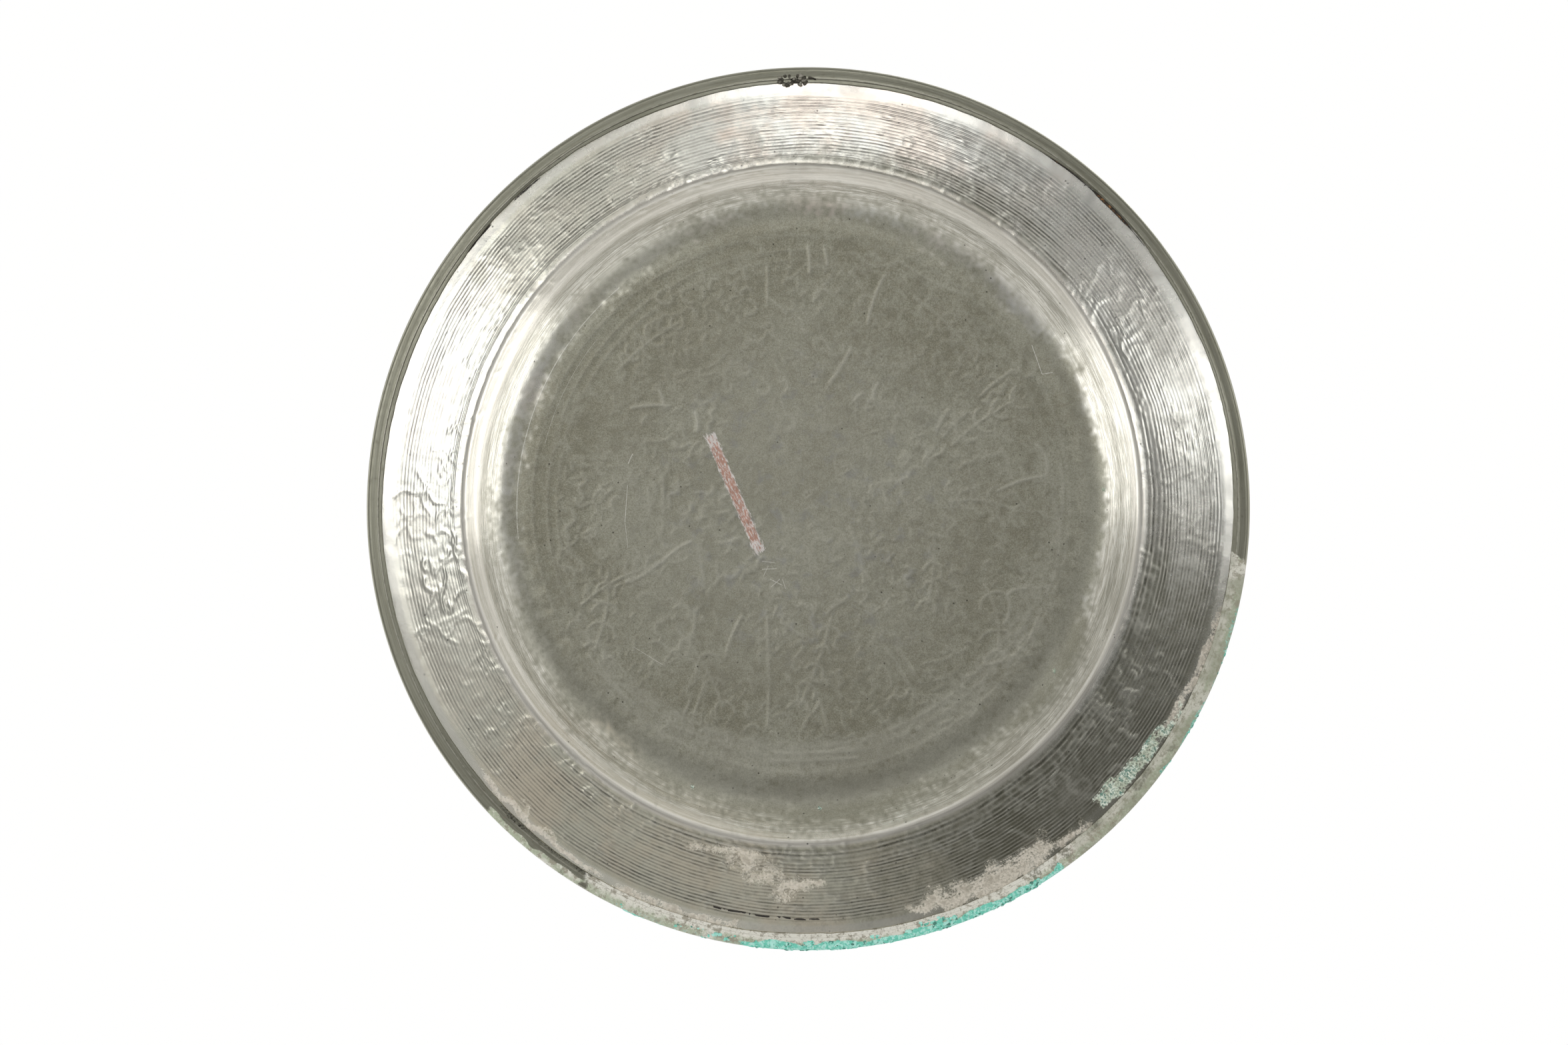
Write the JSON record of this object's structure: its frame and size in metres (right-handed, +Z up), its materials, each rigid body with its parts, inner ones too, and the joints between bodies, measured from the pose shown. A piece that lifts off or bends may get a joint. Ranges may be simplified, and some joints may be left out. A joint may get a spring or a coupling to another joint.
{
  "type": "paten plate",
  "caption": "Round raised-copper dish with a flat-floored well, a broad flange and an edge bound over a wire, for holding bread on an altar.",
  "frame": {"origin": "centre of the well's underside, on the surface the plate stands on", "axes": "+Z up, out of the well along the plate's axis of symmetry; +X and +Y in the plane of the plate, with the strip's joint near +Y"},
  "size_m": [0.28, 0.28, 0.025],
  "materials": {
    "tinned_copper": "worn tin wash on raised copper, tarnished and brushed",
    "wire": "drawn copper wire, dull",
    "binding_copper": "dark tarnished copper strip",
    "solder": "blackened soft solder",
    "verdigris": "crusty green copper corrosion"
  },
  "bodies": {
    "root": {"dish": "tinned_copper", "rim_wire": "wire", "rim_binding": "binding_copper", "binding_solder": "solder"}
  },
  "joints": []
}
